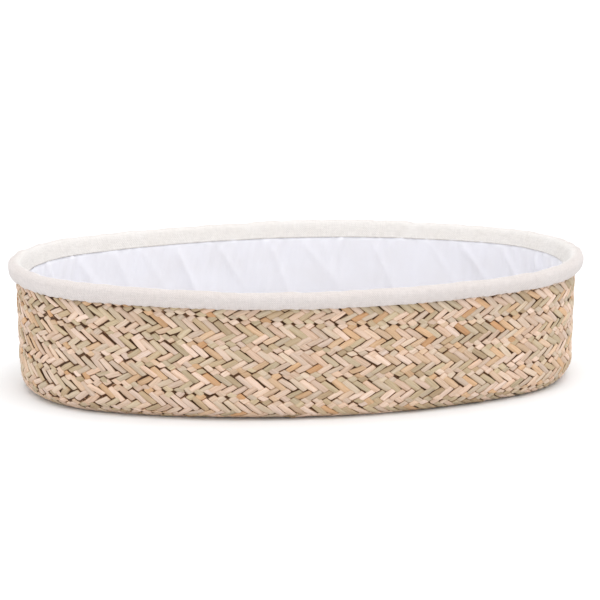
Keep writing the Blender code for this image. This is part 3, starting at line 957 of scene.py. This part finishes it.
def capsules(name, centres, across, outward, radius):
    """Short closed threads along the paths in centres. across and outward are their unit side directions."""
    number, length = centres.shape[:2]
    part = np.linspace(-1, 1, length)
    sides = np.linspace(0, TAU, 6, endpoint=False)
    thick = radius * np.sqrt(np.clip(1 - 0.8 * part**4, 0, 1))[None, :, None, None]
    ring = across[:, :, None] * np.cos(sides)[:, None] + outward[:, :, None] * np.sin(sides)[:, None]
    points = centres[:, :, None] + thick * ring
    return object_from(name, points.reshape(-1, 3), tube_faces(number, length, len(sides)))


def make_cuff_stitches():
    """Topstitching along the cuff's hem and along the seam that joins it to the lining."""
    cuff = read_points(bpy.data.objects["cuff"]).reshape(CUFF_RINGS, CUFF_STEPS, 3)
    for name, step, inwards in (("stitches_hem", 2, 1), ("stitches_seam", CUFF_STEPS - 2, -1)):
        row = np.concatenate([cuff[:, step], cuff[:1, step]])
        beside = np.concatenate([cuff[:, step + inwards], cuff[:1, step + inwards]])
        run = steps_along(row)
        number = round(run[-1] / SEWING_PITCH)
        starts = np.arange(number) * run[-1] / number
        part = np.linspace(0, 1, 5)
        at = starts[:, None] + SEWING_LENGTH * part[None, :]
        at = np.minimum(at, run[-1])
        centres, others = (
            np.stack([np.interp(at, run, line[:, i]) for i in range(3)], -1) for line in (row, beside)
        )
        along = np.gradient(centres, axis=1)
        along /= np.maximum(np.linalg.norm(along, axis=-1, keepdims=True), 1e-9)
        across = others - centres
        across /= np.linalg.norm(across, axis=-1, keepdims=True)
        outward = np.cross(along, across) * inwards
        proud = SEWING_RADIUS * (1.0 - 1.2 * np.abs(2 * part - 1) ** 3)
        centres = centres + outward * proud[None, :, None]
        made = capsules(name, centres, across, outward, SEWING_RADIUS)
        made.data.materials.append(MATERIALS["thread"])
        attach(made, "liner")


def make_stitches(name, replaced, first_turn, last_turn):
    """Running stitches of twine over the spiral seam on the inner face, their ends down in the plait."""
    share = np.linspace(0, 1, 600, endpoint=False)
    turns = np.repeat(np.arange(first_turn, last_turn + 1), len(share))
    shares = np.tile(share, last_turn + 1 - first_turn)
    counts = seam(turns, shares)
    fits = (counts > 0.15) & np.cumprod(counts < TOP_COUNT - 0.15).astype(bool)
    shares, counts = shares[fits], counts[fits]
    run = steps_along(shell(shares, counts, 0.0))
    starts = np.arange(0.01, run[-1] - 0.01, STITCH_PITCH)
    part = np.linspace(0, 1, 7)
    at = starts[:, None] + STITCH_LENGTH * part[None, :]
    spiral = np.unwrap(shares * TAU) / TAU
    place = np.interp(at, run, spiral) % 1
    slant = 0.03 * np.where(np.arange(len(starts)) % 2, 1, -1)[:, None]
    count = np.interp(at, run, counts) + slant * (part - 0.5)
    height = PLAIT_THICK / 2 + TWINE_RADIUS * 0.6 - 0.0016 * np.abs(2 * part - 1) ** 3
    sides = np.linspace(0, TAU, 8, endpoint=False)
    thick = TWINE_RADIUS * (1 - 0.25 * np.abs(2 * part - 1) ** 2)
    off = -(height[None, :, None] + thick[None, :, None] * np.sin(sides))
    across = count[:, :, None] + thick[None, :, None] * np.cos(sides) / COURSE
    points = shell(place[:, :, None], across, off)
    made = object_from(name, points.reshape(-1, 3), tube_faces(*points.shape[:3]))
    made.data.materials.append(MATERIALS["twine"])
    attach(made, "basket")
    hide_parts(replaced)


# ---------------------------------------------------------------- the scene


def make_stage():
    """A plain pale floor, white light from all round and one very soft sun."""
    bpy.ops.mesh.primitive_plane_add(size=30, location=(0, 4, 0))
    floor = bpy.context.object
    floor.name = "floor"
    made, _, shader = new_material("floor", 0.9)
    shader.inputs["Base Color"].default_value = (0.890, 0.905, 0.925, 1)
    floor.data.materials.append(made)
    world = bpy.data.worlds.new("studio")
    bpy.context.scene.world = world
    world.use_nodes = True
    light = world.node_tree.nodes["Background"]
    light.inputs["Color"].default_value = (1, 1, 1, 1)
    light.inputs["Strength"].default_value = 1.08
    sun = bpy.data.lights.new("key", "SUN")
    sun.energy = 1.1
    sun.angle = math.radians(55)
    key = bpy.data.objects.new("key", sun)
    key.rotation_euler = Vector((-0.2, 0.45, -1.6)).to_track_quat("-Z", "Y").to_euler()
    bpy.context.scene.collection.objects.link(key)


AIM = Vector((0.0, 0.0, 0.0727))
AZIMUTH, ELEVATION = math.radians(-8.66), math.radians(13.78)
DISTANCE = 3.63


def make_camera():
    """The photograph's own point of view."""
    data = bpy.data.cameras.new("camera")
    data.sensor_width = 36.0
    data.lens = 164.25
    data.shift_x = 0.0034
    data.shift_y = 0.0416
    made = bpy.data.objects.new("camera", data)
    level = math.cos(ELEVATION)
    away = Vector((math.sin(AZIMUTH) * level, -math.cos(AZIMUTH) * level, math.sin(ELEVATION)))
    made.location = AIM + away * DISTANCE
    made.rotation_euler = (-away).to_track_quat("-Z", "Y").to_euler()
    bpy.context.scene.collection.objects.link(made)
    bpy.context.scene.camera = made
    bpy.context.scene.view_settings.view_transform = "Standard"


make_camera()
make_stage()
make_plait()
make_stitches("stitches_base", "base_seam_twine", 0, FIRST_CORNER_TURN - 1)
make_stitches("stitches_wall", "wall_seam_twine", FIRST_CORNER_TURN, LAST_TURN)
make_cuff()
make_cuff_stitches()
make_lining()
make_lining_floor()
make_mattress()
